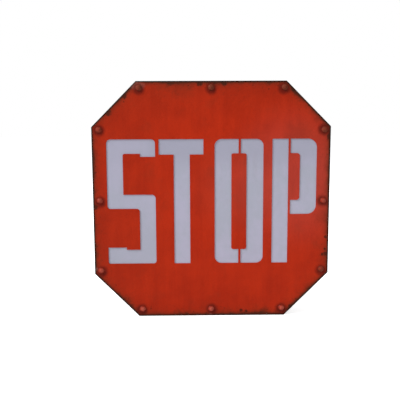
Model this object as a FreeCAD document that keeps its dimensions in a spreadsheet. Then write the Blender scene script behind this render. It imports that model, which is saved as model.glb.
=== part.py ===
"""A stop sign built as a riveted steel light box.

Seen from the front, X runs to the right and Z up. The wall is the plane y = 0 behind the sign, the face
looks towards -Y, and the origin is the middle of the rear rim. All lengths are in millimetres.
"""
import FreeCAD, Part
import math
import os

import Sketcher

Vector = FreeCAD.Vector
TINY = 1e-4
# At each corner the outline turns by this angle
CORNER_TURN = 45.0
# Each arc of a lead takes this share of the shorter of its two runs
BEND_SHARE = 0.45
VOLUME_ERROR = 0.01

SIZES = {
    # The word: its four letters between two margins give the sign its width
    "margin_left": 24.0,
    "s_width": 81.6,
    "gap_after_s": 5.9,
    "t_width": 75.1,
    "gap_after_t": 18.6,
    "o_width": 82.4,
    "gap_after_o": 14.8,
    "p_width": 75.0,
    "margin_right": 22.6,
    # A letter between two margins gives the sign its height
    "margin_above": 95.6,
    "letter_height": 211.8,
    "margin_below": 92.6,
    "corner_cut": 75.0,
    # Strokes of the stencil
    "stem_width": 27.2,
    "bowl_width": 28.5,
    "bar_height": 24.2,
    "t_bar_height": 25.8,
    "t_stem_shift": 1.0,
    "bridge_width": 3.5,
    "o_bridge_shift": 1.1,
    "s_tip_length": 25.5,
    "s_tip_drop": 5.1,
    "s_foot_length": 31.3,
    "s_foot_rise": 4.0,
    "s_waist_depth": 93.0,
    "p_bowl_depth": 127.5,
    "s_round": 7.0,
    "o_round": 12.0,
    "p_round": 15.0,
    "small_round": 5.0,
    "fine_round": 3.0,
    # Face sheet and folded casing
    "body_depth": 50.0,
    "face_sheet": 1.2,
    "casing_sheet": 1.2,
    "fold_radius": 0.8,
    # Rivets
    "rivet_inset": 11.5,
    "rivet_head_radius": 5.5,
    "rivet_head_height": 3.4,
    "rivet_shank_radius": 2.0,
    "rivet_tail_radius": 3.4,
    "rivet_tail_height": 1.4,
    "rivet_hole_gap": 0.1,
    # Diffuser and the clips that hold it
    "diffuser_sheet": 2.5,
    "diffuser_gap": 0.5,
    "flange_margin": 1.2,
    "clip_sheet": 0.6,
    "clip_width": 10.0,
    "clip_heel": 4.5,
    "clip_tail_gap": 0.8,
    "clip_finger": 2.7,
    "clip_bend": 0.3,
    # Back cover and its keyholes
    "cover_sheet": 1.0,
    "cover_recess": 4.0,
    "cover_edge_gap": 0.5,
    "keyhole_spacing": 200.0,
    "keyhole_drop": 50.0,
    "keyhole_entry_radius": 4.5,
    "keyhole_slot_radius": 2.25,
    "keyhole_rise": 9.0,
    # Tabs that carry the cover, and its screws
    "tab_sheet": 1.2,
    "tab_width": 16.0,
    "tab_reach": 14.0,
    "tab_foot": 12.0,
    "tab_bend": 0.8,
    "tab_spread": 80.0,
    "tab_hole_reach": 8.0,
    "screw_shank_radius": 2.0,
    "screw_length": 8.0,
    "screw_head_radius": 4.0,
    "screw_head_height": 2.4,
    "screw_head_round": 1.4,
    "screw_cross_length": 4.4,
    "screw_cross_width": 0.9,
    "screw_cross_depth": 1.1,
    "screw_hole_gap": 0.25,
    "screw_thread_gap": 0.05,
    # Light boards and chips
    "board_count": 4,
    "board_pitch": 60.0,
    "board_length": 300.0,
    "board_width": 12.0,
    "board_sheet": 1.6,
    "chip_count": 9,
    "chip_width": 5.0,
    "chip_height": 1.6,
    "chip_end_margin": 10.0,
    # Leads
    "lead_radius": 1.1,
    "lead_gap": 0.1,
    "lead_pad_inset": 4.0,
    "jumper_bow": 12.0,
    "supply_run": 12.0,
    "supply_drop": 20.0,
    # Power inlet in the lower right slanted side
    "inlet_setback": 24.0,
    "inlet_flange_radius": 5.6,
    "inlet_flange_height": 1.8,
    "inlet_flange_round": 0.6,
    "inlet_barrel_radius": 3.95,
    "inlet_barrel_length": 13.0,
    "inlet_bore_radius": 2.8,
    "inlet_bore_depth": 10.0,
    "inlet_pin_radius": 1.0,
    "inlet_pin_length": 8.5,
    "inlet_hole_gap": 0.15,
    "inlet_thread_gap": 0.05,
    "terminal_length": 4.0,
    "terminal_width": 2.4,
    "terminal_sheet": 0.8,
    "terminal_spacing": 2.0,
    "nut_corner_radius": 5.8,
    "nut_height": 2.2,
}

LAYOUT = {
    "half_width": "=(Size.margin_left + Size.s_width + Size.gap_after_s + Size.t_width + Size.gap_after_t"
    " + Size.o_width + Size.gap_after_o + Size.p_width + Size.margin_right) / 2",
    "half_height": "=(Size.margin_above + Size.letter_height + Size.margin_below) / 2",
    # Where the upright and level sides end and the slanted ones begin
    "flat_half_x": "=half_width - Size.corner_cut",
    "flat_half_z": "=half_height - Size.corner_cut",
    # An outline set in by some inset has its corners this share of the inset nearer to the middle
    "corner_slide": "=tan(22.5 deg)",
    "letter_top": "=half_height - Size.margin_above",
    "letter_bottom": "=letter_top - Size.letter_height",
    "s_left": "=-half_width + Size.margin_left",
    "s_right": "=s_left + Size.s_width",
    "t_left": "=s_right + Size.gap_after_s",
    "t_right": "=t_left + Size.t_width",
    "t_stem_left": "=(t_left + t_right - Size.stem_width) / 2 + Size.t_stem_shift",
    "o_left": "=t_right + Size.gap_after_t",
    "o_right": "=o_left + Size.o_width",
    "p_left": "=o_right + Size.gap_after_o",
    "p_right": "=p_left + Size.p_width",
    "upper_bar": "=letter_top - Size.bar_height",
    "t_bar": "=letter_top - Size.t_bar_height",
    "lower_bar": "=letter_bottom + Size.bar_height",
    "s_waist": "=letter_top - Size.s_waist_depth",
    "p_bowl_bottom": "=letter_top - Size.p_bowl_depth",
    # Depths, as y of each plane
    "casing_depth": "=Size.body_depth - Size.face_sheet",
    "flange_back": "=-casing_depth + Size.casing_sheet",
    "cover_front": "=-Size.cover_recess - Size.cover_sheet",
    "board_front": "=cover_front - Size.board_sheet",
    # Rivets stand at one inset from both sides that meet at a corner
    "rivet_row_x": "=flat_half_x - Size.rivet_inset * corner_slide",
    "rivet_row_z": "=half_height - Size.rivet_inset",
    "rivet_column_x": "=half_width - Size.rivet_inset",
    "rivet_column_z": "=flat_half_z - Size.rivet_inset * corner_slide",
    "rivet_hole_radius": "=Size.rivet_shank_radius + Size.rivet_hole_gap",
    "rivet_grip": "=Size.face_sheet + Size.casing_sheet + Size.clip_sheet",
    # From a rivet inwards come its tail, the clip's riser, the flange's edge and the diffuser's edge
    "clip_riser": "=Size.rivet_tail_radius + Size.clip_tail_gap + Size.clip_sheet",
    "flange_width": "=Size.rivet_inset + clip_riser + Size.flange_margin",
    "diffuser_inset": "=flange_width + Size.diffuser_gap",
    "clip_end": "=diffuser_inset - Size.rivet_inset + Size.clip_finger",
    # The diffuser is thicker than the flange by this much, which the clip steps over
    "clip_step": "=Size.diffuser_sheet - Size.casing_sheet",
    "cover_inset": "=Size.casing_sheet + Size.cover_edge_gap",
    "keyhole_level": "=half_height - Size.keyhole_drop",
    "wall_inner_x": "=half_width - Size.casing_sheet",
    "wall_inner_z": "=half_height - Size.casing_sheet",
    "screw_column_x": "=wall_inner_x - Size.tab_hole_reach",
    "screw_row_z": "=wall_inner_z - Size.tab_hole_reach",
    "lowest_board": "=-(Size.board_count - 1) * Size.board_pitch / 2",
    "chip_reach": "=Size.board_length / 2 - Size.chip_end_margin",
    "lead_depth": "=board_front - Size.lead_radius - Size.lead_gap",
    # Middle of the lower right slanted side
    "inlet_x": "=half_width - Size.corner_cut / 2",
    "inlet_z": "=-half_height + Size.corner_cut / 2",
    "inlet_bore_end": "=Size.inlet_flange_height - Size.inlet_bore_depth",
}

doc = FreeCAD.newDocument("StopSign")
size = doc.addObject("Spreadsheet::Sheet", "Size")
layout = doc.addObject("Spreadsheet::Sheet", "Layout")


def fill(sheet, cells):
    """One named cell a row: its name in column A and its content in column B."""
    for row, (name, content) in enumerate(cells.items(), start=1):
        sheet.set(f"A{row}", name)
        sheet.set(f"B{row}", str(content))
        sheet.setAlias(f"B{row}", name)


def new_body(name):
    return doc.addObject("PartDesign::Body", name)


def origin_part(body, role):
    return next(part for part in body.Origin.OriginFeatures if part.Role == role)


def new_sketch(body, role, name):
    """A sketch on one of the body's own origin planes."""
    sketch = body.newObject("Sketcher::SketchObject", name)
    sketch.AttachmentSupport = [(origin_part(body, role), "")]
    sketch.MapMode = "FlatFace"
    return sketch


def place(body, across="0", depth="0", up="0", turn=0.0):
    """Put a body at a bound place, turned by some degrees about the depth axis."""
    body.Placement = FreeCAD.Placement(Vector(), FreeCAD.Rotation(Vector(0, 1, 0), turn))
    for axis, expression in zip("xyz", (across, depth, up)):
        body.setExpression(f"Placement.Base.{axis}", expression)


def bind(sketch, kind, geometry, point, expression):
    """Hold a point's distance from the sketch's origin, or on its axis where that is zero."""
    if expression == "0":
        axis = -2 if kind == "DistanceX" else -1
        sketch.addConstraint(Sketcher.Constraint("PointOnObject", geometry, point, axis))
        return
    now = float(sketch.evalExpression(expression))
    number = sketch.addConstraint(Sketcher.Constraint(kind, -1, 1, geometry, point, now))
    sketch.setExpression(f"Constraints[{number}]", expression)


def bind_radius(sketch, geometry, expression):
    now = float(sketch.evalExpression(expression))
    number = sketch.addConstraint(Sketcher.Constraint("Radius", geometry, now))
    sketch.setExpression(f"Constraints[{number}]", expression)


def circle(sketch, across, up, radius):
    centre = Vector(float(sketch.evalExpression(across)), float(sketch.evalExpression(up)), 0)
    now = float(sketch.evalExpression(radius))
    geometry = sketch.addGeometry(Part.Circle(centre, Vector(0, 0, 1), now), False)
    bind(sketch, "DistanceX", geometry, 3, across)
    bind(sketch, "DistanceY", geometry, 3, up)
    bind_radius(sketch, geometry, radius)


def add_round(sketch, before, after, corner, arrive, leave, radius):
    """An arc of a bound radius, tangent to the line before a corner and to the one after it."""
    now = float(sketch.evalExpression(radius))
    start = corner - arrive * now
    end = corner + leave * now
    centre = start + leave * now
    middle = centre + (corner - centre).normalize() * now
    arc = sketch.addGeometry(Part.Arc(start, middle, end), False)
    starts_first = sketch.getPoint(arc, 1).distanceToPoint(start) < TINY
    first, last = (1, 2) if starts_first else (2, 1)
    sketch.addConstraint(Sketcher.Constraint("Tangent", before, 2, arc, first))
    sketch.addConstraint(Sketcher.Constraint("Tangent", arc, last, after, 1))
    bind_radius(sketch, arc, radius)


def outline(sketch, corners):
    """A closed outline of level and upright lines, rounded at each corner that names a radius."""
    corners = [(corner + ("0",))[:3] for corner in corners]
    points = [Vector(float(sketch.evalExpression(across)), float(sketch.evalExpression(up)), 0)
              for across, up, _ in corners]
    radii = [float(sketch.evalExpression(radius)) for _, _, radius in corners]
    ways = []
    lines = []
    for number, point in enumerate(points):
        following = (number + 1) % len(points)
        way = (points[following] - point).normalize()
        line = Part.LineSegment(point + way * radii[number], points[following] - way * radii[following])
        ways.append(way)
        lines.append(sketch.addGeometry(line, False))
    for number, (across, up, radius) in enumerate(corners):
        before, line = lines[number - 1], lines[number]
        if radius == "0":
            sketch.addConstraint(Sketcher.Constraint("Coincident", before, 2, line, 1))
        else:
            add_round(sketch, before, line, points[number], ways[number - 1], ways[number], radius)
        upright = across == corners[(number + 1) % len(corners)][0]
        sketch.addConstraint(Sketcher.Constraint("Vertical" if upright else "Horizontal", line))
        bind(sketch, "DistanceX" if upright else "DistanceY", line, 1, across if upright else up)


def octagon(sketch, inset="0"):
    """The sign's outline, set in all round: a rectangle with its four corners cut at 45 degrees."""
    wide = f"(Layout.half_width - ({inset}))"
    high = f"(Layout.half_height - ({inset}))"
    flat_x = f"(Layout.flat_half_x - ({inset}) * Layout.corner_slide)"
    flat_z = f"(Layout.flat_half_z - ({inset}) * Layout.corner_slide)"
    corners = [(f"-{flat_x}", high), (flat_x, high), (wide, flat_z), (wide, f"-{flat_z}"),
               (flat_x, f"-{high}"), (f"-{flat_x}", f"-{high}"),
               (f"-{wide}", f"-{flat_z}"), (f"-{wide}", flat_z)]
    points = [Vector(*(float(sketch.evalExpression(place)) for place in corner), 0) for corner in corners]
    lines = [sketch.addGeometry(Part.LineSegment(point, points[(number + 1) % len(points)]), False)
             for number, point in enumerate(points)]
    for number, (across, up) in enumerate(corners):
        sketch.addConstraint(Sketcher.Constraint("Coincident", lines[number - 1], 2, lines[number], 1))
        bind(sketch, "DistanceX", lines[number], 1, across)
        bind(sketch, "DistanceY", lines[number], 1, up)


def pad(body, sketch, length, name, backwards=False, symmetric=False):
    feature = body.newObject("PartDesign::Pad", name)
    feature.Profile = sketch
    feature.setExpression("Length", length)
    feature.Reversed = backwards
    if symmetric:
        feature.SideType = "Symmetric"
    doc.recompute()
    return feature


def pocket(body, sketch, length, name, backwards=False):
    """A cut that has to take material away."""
    before = body.Shape.Volume
    feature = body.newObject("PartDesign::Pocket", name)
    feature.Profile = sketch
    feature.setExpression("Length", length)
    feature.Reversed = backwards
    doc.recompute()
    if body.Shape.Volume > before - TINY:
        raise RuntimeError(f"{body.Label}: {name} cuts nothing")
    return feature


def revolve(body, sketch, axis, name):
    feature = body.newObject("PartDesign::Revolution", name)
    feature.Profile = sketch
    feature.ReferenceAxis = (sketch, [axis])
    feature.Angle = 360
    doc.recompute()
    return feature


def grid(body, features, name, x_step=None, x_count=1, z_step=None, z_count=1):
    """Repeat features along X and Z, each step a bound length."""
    pattern = body.newObject("PartDesign::LinearPattern", name)
    pattern.Originals = features
    pattern.Direction = (origin_part(body, "X_Axis"), [""])
    pattern.Direction2 = (origin_part(body, "Z_Axis"), [""])
    pattern.Occurrences = x_count
    pattern.Occurrences2 = z_count
    if x_step:
        pattern.setExpression("Length", f"({x_step}) * {x_count - 1}")
    if z_step:
        pattern.setExpression("Length2", f"({z_step}) * {z_count - 1}")
    body.Tip = pattern
    doc.recompute()
    return pattern


def rivet_grids():
    """The rows of rivets at top and bottom, then the columns at the sides, each set by its lower left one."""
    row = ("row", "-Layout.rivet_row_x", "-Layout.rivet_row_z",
           {"x_step": "Layout.rivet_row_x", "x_count": 3,
            "z_step": "2 * Layout.rivet_row_z", "z_count": 2})
    column = ("column", "-Layout.rivet_column_x", "-Layout.rivet_column_z",
              {"x_step": "2 * Layout.rivet_column_x", "x_count": 2,
               "z_step": "Layout.rivet_column_z", "z_count": 3})
    return [row, column]


def screw_grids():
    """The two sets of cover screws, each by its lower left one."""
    row = ("row", "-Size.tab_spread", "-Layout.screw_row_z",
           {"x_step": "2 * Size.tab_spread", "x_count": 2,
            "z_step": "2 * Layout.screw_row_z", "z_count": 2})
    column = ("column", "-Layout.screw_column_x", "-Size.tab_spread",
              {"x_step": "2 * Layout.screw_column_x", "x_count": 2,
               "z_step": "2 * Size.tab_spread", "z_count": 2})
    return [row, column]


def drill(body, grids, radius, length, name):
    """Round holes from the body's own zero plane towards the front, at every place of some grids."""
    for label, across, up, steps in grids:
        sketch = new_sketch(body, "XZ_Plane", f"{name}_{label}_sketch")
        circle(sketch, across, up, radius)
        hole = pocket(body, sketch, length, f"{name}_{label}", backwards=True)
        grid(body, [hole], f"{name}_{label}_grid", **steps)


def letter_s(sketch):
    stem = "Size.stem_width"
    tip, tip_end = "Layout.s_right - Size.s_tip_length", "Layout.upper_bar - Size.s_tip_drop"
    foot, foot_end = "Layout.s_left + Size.s_foot_length", "Layout.lower_bar + Size.s_foot_rise"
    waist_bottom = "Layout.s_waist - Size.bar_height"
    outline(sketch, [
        ("Layout.s_left", "Layout.letter_top", "Size.s_round"),
        ("Layout.s_right", "Layout.letter_top", "Size.s_round"),
        ("Layout.s_right", tip_end),
        (tip, tip_end),
        (tip, "Layout.upper_bar"),
        (f"Layout.s_left + {stem}", "Layout.upper_bar", "Size.fine_round"),
        (f"Layout.s_left + {stem}", "Layout.s_waist"),
        ("Layout.s_right", "Layout.s_waist", "Size.s_round"),
        ("Layout.s_right", "Layout.letter_bottom", "Size.small_round"),
        ("Layout.s_left", "Layout.letter_bottom", "Size.fine_round"),
        ("Layout.s_left", foot_end),
        (foot, foot_end),
        (foot, "Layout.lower_bar"),
        (f"Layout.s_right - {stem}", "Layout.lower_bar"),
        (f"Layout.s_right - {stem}", waist_bottom, "Size.small_round"),
        ("Layout.s_left", waist_bottom, "Size.small_round"),
    ])


def letter_t(sketch):
    stem_right = "Layout.t_stem_left + Size.stem_width"
    outline(sketch, [
        ("Layout.t_left", "Layout.letter_top"),
        ("Layout.t_right", "Layout.letter_top"),
        ("Layout.t_right", "Layout.t_bar"),
        (stem_right, "Layout.t_bar"),
        (stem_right, "Layout.letter_bottom"),
        ("Layout.t_stem_left", "Layout.letter_bottom"),
        ("Layout.t_stem_left", "Layout.t_bar"),
        ("Layout.t_left", "Layout.t_bar"),
    ])


def letter_o(sketch):
    """Two halves, with a bridge above and below that holds the middle."""
    for outer, inward in (("Layout.o_left", "+"), ("Layout.o_right", "-")):
        inner = f"{outer} {inward} Size.bowl_width"
        bridge = f"{outer} {inward} (Size.o_width - Size.bridge_width) / 2 + Size.o_bridge_shift"
        outline(sketch, [
            (outer, "Layout.letter_top", "Size.o_round"),
            (bridge, "Layout.letter_top"),
            (bridge, "Layout.upper_bar"),
            (inner, "Layout.upper_bar", "Size.fine_round"),
            (inner, "Layout.lower_bar", "Size.fine_round"),
            (bridge, "Layout.lower_bar"),
            (bridge, "Layout.letter_bottom"),
            (outer, "Layout.letter_bottom", "Size.o_round"),
        ])


def letter_p(sketch):
    """A stem and a bowl, with a bridge between them that holds the middle of the bowl."""
    stem_right = "Layout.p_left + Size.stem_width"
    bowl_left = "Layout.p_left + Size.stem_width + Size.bridge_width"
    inner = "Layout.p_right - Size.bowl_width"
    inner_bottom = "Layout.p_bowl_bottom + Size.bar_height"
    outline(sketch, [
        ("Layout.p_left", "Layout.letter_top"),
        (stem_right, "Layout.letter_top"),
        (stem_right, "Layout.letter_bottom"),
        ("Layout.p_left", "Layout.letter_bottom"),
    ])
    outline(sketch, [
        (bowl_left, "Layout.letter_top"),
        ("Layout.p_right", "Layout.letter_top", "Size.p_round"),
        ("Layout.p_right", "Layout.p_bowl_bottom", "Size.p_round"),
        (bowl_left, "Layout.p_bowl_bottom"),
        (bowl_left, inner_bottom),
        (inner, inner_bottom, "Size.small_round"),
        (inner, "Layout.upper_bar", "Size.small_round"),
        (bowl_left, "Layout.upper_bar"),
    ])


def make_face_plate():
    """Flat front sheet with the word cut through it as a stencil, and the rivet holes."""
    body = new_body("face_plate")
    place(body, depth="-Layout.casing_depth")
    sheet = new_sketch(body, "XZ_Plane", "face_outline")
    octagon(sheet)
    pad(body, sheet, "Size.face_sheet", "face_sheet")
    for draw in (letter_s, letter_t, letter_o, letter_p):
        sketch = new_sketch(body, "XZ_Plane", f"{draw.__name__}_sketch")
        draw(sketch)
        pocket(body, sketch, "Size.face_sheet", draw.__name__, backwards=True)
    drill(body, rivet_grids(), "Layout.rivet_hole_radius", "Size.face_sheet", "face_hole")
    return [body]


def rim_distance(point):
    """How far a point lies inside the sign's outline, seen from the front."""
    across, up = abs(point.x), abs(point.z)
    slanted = (layout.half_width + layout.half_height - size.corner_cut - across - up) / math.sqrt(2)
    return min(layout.half_width - across, layout.half_height - up, slanted)


def fold_edges(shape, inset):
    """Names of the edges that lie at one inset from the outline, apart from those of the open rear rim."""
    names = []
    for number, edge in enumerate(shape.Edges, start=1):
        points = [vertex.Point for vertex in edge.Vertexes]
        at_rear = all(point.y > -TINY for point in points)
        at_inset = all(abs(rim_distance(point) - inset) < TINY for point in points)
        if at_inset and not at_rear:
            names.append(f"Edge{number}")
    return names


def fold(body, feature, inset, radius, name):
    """Round the bends of the folded sheet on one of its sides."""
    bend = body.newObject("PartDesign::Fillet", name)
    bend.Base = (feature, fold_edges(feature.Shape, inset))
    bend.setExpression("Radius", radius)
    doc.recompute()


def make_casing():
    """Band folded round the outline, with a front flange that the rivets pass through."""
    body = new_body("casing")
    block_sketch = new_sketch(body, "XZ_Plane", "casing_outline")
    octagon(block_sketch)
    block = pad(body, block_sketch, "Layout.casing_depth", "casing_block")
    fold(body, block, 0, "Size.fold_radius + Size.casing_sheet", "outer_bends")
    hollow_sketch = new_sketch(body, "XZ_Plane", "casing_hollow_outline")
    octagon(hollow_sketch, "Size.casing_sheet")
    hollow = pocket(body, hollow_sketch, "-Layout.flange_back", "casing_hollow", backwards=True)
    fold(body, hollow, size.casing_sheet, "Size.fold_radius", "inner_bends")
    window = new_sketch(body, "XZ_Plane", "flange_window_outline")
    octagon(window, "Layout.flange_width")
    pocket(body, window, "Layout.casing_depth", "flange_window", backwards=True)
    drill(body, rivet_grids(), "Layout.rivet_hole_radius", "Layout.casing_depth", "flange_hole")
    inlet = new_sketch(body, "YZ_Plane", "inlet_hole_sketch")
    inlet.AttachmentOffset = FreeCAD.Placement(Vector(), FreeCAD.Rotation(Vector(1, 0, 0), CORNER_TURN))
    for axis, expression in zip("xyz", ("-Size.inlet_setback", "Layout.inlet_z", "Layout.inlet_x")):
        inlet.setExpression(f"AttachmentOffset.Base.{axis}", expression)
    circle(inlet, "0", "0", "Size.inlet_barrel_radius + Size.inlet_hole_gap")
    pocket(body, inlet, "2 * Size.casing_sheet", "inlet_hole")
    return [body]


def rivet_profile(sketch):
    """Half section of a set rivet from its axis: domed head, shank, and the tail formed behind the clip."""
    tail_end = "Layout.rivet_grip + Size.rivet_tail_height"
    shank, tail = "Size.rivet_shank_radius", "Size.rivet_tail_radius"
    corners = [("0", "-Size.rivet_head_height"), ("Size.rivet_head_radius", "0"), (shank, "0"),
               (shank, "Layout.rivet_grip"), (tail, "Layout.rivet_grip"), (tail, tail_end), ("0", tail_end)]
    points = [Vector(*(float(sketch.evalExpression(place)) for place in corner), 0) for corner in corners]
    apex, rim = points[0], points[1]
    dome_radius = (rim.x ** 2 + apex.y ** 2) / (2 * -apex.y)
    dome_centre = Vector(0, apex.y + dome_radius, 0)
    halfway = dome_centre + ((apex + rim) / 2 - dome_centre).normalize() * dome_radius
    dome = sketch.addGeometry(Part.Arc(apex, halfway, rim), False)
    lines = [sketch.addGeometry(Part.LineSegment(point, points[(number + 1) % len(points)]), False)
             for number, point in enumerate(points) if number > 0]
    at_apex = 1 if sketch.getPoint(dome, 1).distanceToPoint(apex) < TINY else 2
    sketch.addConstraint(Sketcher.Constraint("Coincident", lines[-1], 2, dome, at_apex))
    sketch.addConstraint(Sketcher.Constraint("Coincident", dome, 3 - at_apex, lines[0], 1))
    sketch.addConstraint(Sketcher.Constraint("PointOnObject", dome, 3, -2))
    bind(sketch, "DistanceX", dome, at_apex, corners[0][0])
    bind(sketch, "DistanceY", dome, at_apex, corners[0][1])
    for number, line in enumerate(lines, start=1):
        if number > 1:
            sketch.addConstraint(Sketcher.Constraint("Coincident", lines[number - 2], 2, line, 1))
        bind(sketch, "DistanceX", line, 1, corners[number][0])
        bind(sketch, "DistanceY", line, 1, corners[number][1])


def make_face_rivets():
    """Twelve rivets that hold the face, the casing's flange and the clips together."""
    body = new_body("face_rivets")
    place(body, depth="-Size.body_depth")
    for label, across, up, steps in rivet_grids():
        sketch = new_sketch(body, "XY_Plane", f"rivet_{label}_profile")
        sketch.setExpression("AttachmentOffset.Base.x", across)
        sketch.setExpression("AttachmentOffset.Base.z", up)
        doc.recompute()
        rivet_profile(sketch)
        rivet = revolve(body, sketch, "V_Axis", f"rivet_{label}")
        grid(body, [rivet], f"rivet_{label}_grid", **steps)
    return [body]


def make_diffuser():
    """Opal panel that lies against the face sheet inside the flange's window, seen through the stencil."""
    body = new_body("diffuser")
    place(body, depth="-Layout.casing_depth + Size.diffuser_sheet")
    sketch = new_sketch(body, "XZ_Plane", "diffuser_outline")
    octagon(sketch, "Layout.diffuser_inset")
    pad(body, sketch, "Size.diffuser_sheet", "diffuser_sheet")
    return [body]


def rivet_places():
    """Across, up and outward angle of each rivet: rows at top and bottom, then columns at right and left."""
    places = []
    for sign in ("", "-"):
        for step, across in ((-1, "-Layout.rivet_row_x"), (0, "0"), (1, "Layout.rivet_row_x")):
            angle = 90 - CORNER_TURN / 2 * step
            places.append((across, f"{sign}Layout.rivet_row_z", -angle if sign else angle))
        for step, up in ((-1, "-Layout.rivet_column_z"), (0, "0"), (1, "Layout.rivet_column_z")):
            angle = CORNER_TURN / 2 * step
            places.append((f"{sign}Layout.rivet_column_x", up, 180 - angle if sign else angle))
    return places


def make_diffuser_clips():
    """Stepped clips: each has its base under a rivet and a finger over the diffuser's edge."""
    bodies = []
    behind = "Layout.clip_riser - Size.clip_sheet"
    finger_back = "Layout.clip_step + Size.clip_sheet"
    outer_bend = "Size.clip_bend + Size.clip_sheet"
    for number, (across, up, angle) in enumerate(rivet_places(), start=1):
        body = new_body(f"diffuser_clip_{number}")
        place(body, across, "Layout.flange_back", up, turn=180 - angle)
        profile = new_sketch(body, "XY_Plane", "clip_profile")
        outline(profile, [
            ("-Size.clip_heel", "0"),
            ("Layout.clip_riser", "0", outer_bend),
            ("Layout.clip_riser", "Layout.clip_step", "Size.clip_bend"),
            ("Layout.clip_end", "Layout.clip_step"),
            ("Layout.clip_end", finger_back),
            (behind, finger_back, outer_bend),
            (behind, "Size.clip_sheet", "Size.clip_bend"),
            ("-Size.clip_heel", "Size.clip_sheet"),
        ])
        pad(body, profile, "Size.clip_width", "clip_strip", symmetric=True)
        hole = new_sketch(body, "XZ_Plane", "clip_hole_sketch")
        circle(hole, "0", "0", "Layout.rivet_hole_radius")
        pocket(body, hole, "Size.clip_sheet", "clip_hole")
        bodies.append(body)
    return bodies


def make_back_cover():
    """Flat sheet set inside the rear rim, with screw holes and two keyholes."""
    body = new_body("back_cover")
    place(body, depth="-Size.cover_recess")
    sketch = new_sketch(body, "XZ_Plane", "cover_outline")
    octagon(sketch, "Layout.cover_inset")
    pad(body, sketch, "Size.cover_sheet", "cover_sheet")
    screw_hole = "Size.screw_shank_radius + Size.screw_hole_gap"
    drill(body, screw_grids(), screw_hole, "Size.cover_sheet", "screw_hole")
    middle = "-Size.keyhole_spacing / 2"
    top = "Layout.keyhole_level + Size.keyhole_rise"
    entry = new_sketch(body, "XZ_Plane", "keyhole_entry_sketch")
    circle(entry, middle, "Layout.keyhole_level", "Size.keyhole_entry_radius")
    slot = new_sketch(body, "XZ_Plane", "keyhole_slot_sketch")
    outline(slot, [
        (f"{middle} - Size.keyhole_slot_radius", "Layout.keyhole_level"),
        (f"{middle} - Size.keyhole_slot_radius", top),
        (f"{middle} + Size.keyhole_slot_radius", top),
        (f"{middle} + Size.keyhole_slot_radius", "Layout.keyhole_level"),
    ])
    end = new_sketch(body, "XZ_Plane", "keyhole_end_sketch")
    circle(end, middle, top, "Size.keyhole_slot_radius")
    cuts = [pocket(body, shape, "Size.cover_sheet", f"keyhole_{name}", backwards=True)
            for name, shape in (("entry", entry), ("slot", slot), ("end", end))]
    grid(body, cuts, "keyhole_pair", x_step="Size.keyhole_spacing", x_count=2)
    return [body]


def tab_places():
    """Where each tab's fold meets the casing's inner wall, and the wall's outward angle."""
    places = []
    for side in ("", "-"):
        for spread in ("Size.tab_spread", "-Size.tab_spread"):
            places.append((spread, f"{side}Layout.wall_inner_z", -90 if side else 90))
            places.append((f"{side}Layout.wall_inner_x", spread, 180 if side else 0))
    return places


def make_cover_tabs():
    """Folded tabs welded to the casing's wall: the foot lies on the wall and the shelf takes the screw."""
    bodies = []
    outer_bend = "Size.tab_bend + Size.tab_sheet"
    for number, (across, up, angle) in enumerate(tab_places(), start=1):
        body = new_body(f"cover_tab_{number}")
        place(body, across, "Layout.cover_front", up, turn=180 - angle)
        profile = new_sketch(body, "XY_Plane", "tab_profile")
        outline(profile, [
            ("0", "0", outer_bend),
            ("Size.tab_reach", "0"),
            ("Size.tab_reach", "-Size.tab_sheet"),
            ("Size.tab_sheet", "-Size.tab_sheet", "Size.tab_bend"),
            ("Size.tab_sheet", "-Size.tab_foot"),
            ("0", "-Size.tab_foot"),
        ])
        pad(body, profile, "Size.tab_width", "tab_strip", symmetric=True)
        hole = new_sketch(body, "XZ_Plane", "tab_hole_sketch")
        circle(hole, "Size.tab_hole_reach", "0", "Size.screw_shank_radius + Size.screw_thread_gap")
        pocket(body, hole, "Size.tab_sheet", "tab_hole", backwards=True)
        bodies.append(body)
    return bodies


def make_cover_screws():
    """Eight pan-head screws with a cross recess, their heads behind the cover."""
    body = new_body("cover_screws")
    place(body, depth="-Size.cover_recess")
    long_half, short_half = "Size.screw_cross_length / 2", "Size.screw_cross_width / 2"
    for label, across, up, steps in screw_grids():
        profile = new_sketch(body, "XY_Plane", f"screw_{label}_profile")
        profile.setExpression("AttachmentOffset.Base.x", across)
        profile.setExpression("AttachmentOffset.Base.z", up)
        doc.recompute()
        outline(profile, [
            ("0", "-Size.screw_length"),
            ("Size.screw_shank_radius", "-Size.screw_length"),
            ("Size.screw_shank_radius", "0"),
            ("Size.screw_head_radius", "0"),
            ("Size.screw_head_radius", "Size.screw_head_height", "Size.screw_head_round"),
            ("0", "Size.screw_head_height"),
        ])
        screw = revolve(body, profile, "V_Axis", f"screw_{label}")
        cross = new_sketch(body, "XZ_Plane", f"screw_{label}_cross_sketch")
        cross.setExpression("AttachmentOffset.Base.x", across)
        cross.setExpression("AttachmentOffset.Base.y", up)
        cross.setExpression("AttachmentOffset.Base.z", "-Size.screw_head_height")
        doc.recompute()
        outline(cross, [
            (f"-{short_half}", long_half), (short_half, long_half), (short_half, short_half),
            (long_half, short_half), (long_half, f"-{short_half}"), (short_half, f"-{short_half}"),
            (short_half, f"-{long_half}"), (f"-{short_half}", f"-{long_half}"),
            (f"-{short_half}", f"-{short_half}"), (f"-{long_half}", f"-{short_half}"),
            (f"-{long_half}", short_half), (f"-{short_half}", short_half),
        ])
        recess = pocket(body, cross, "Size.screw_cross_depth", f"screw_{label}_cross", backwards=True)
        grid(body, [screw, recess], f"screw_{label}_grid", **steps)
    return [body]


def rectangle(sketch, width, height):
    """A rectangle about the sketch's origin."""
    outline(sketch, [
        (f"-{width} / 2", f"{height} / 2"),
        (f"{width} / 2", f"{height} / 2"),
        (f"{width} / 2", f"-{height} / 2"),
        (f"-{width} / 2", f"-{height} / 2"),
    ])


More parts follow.
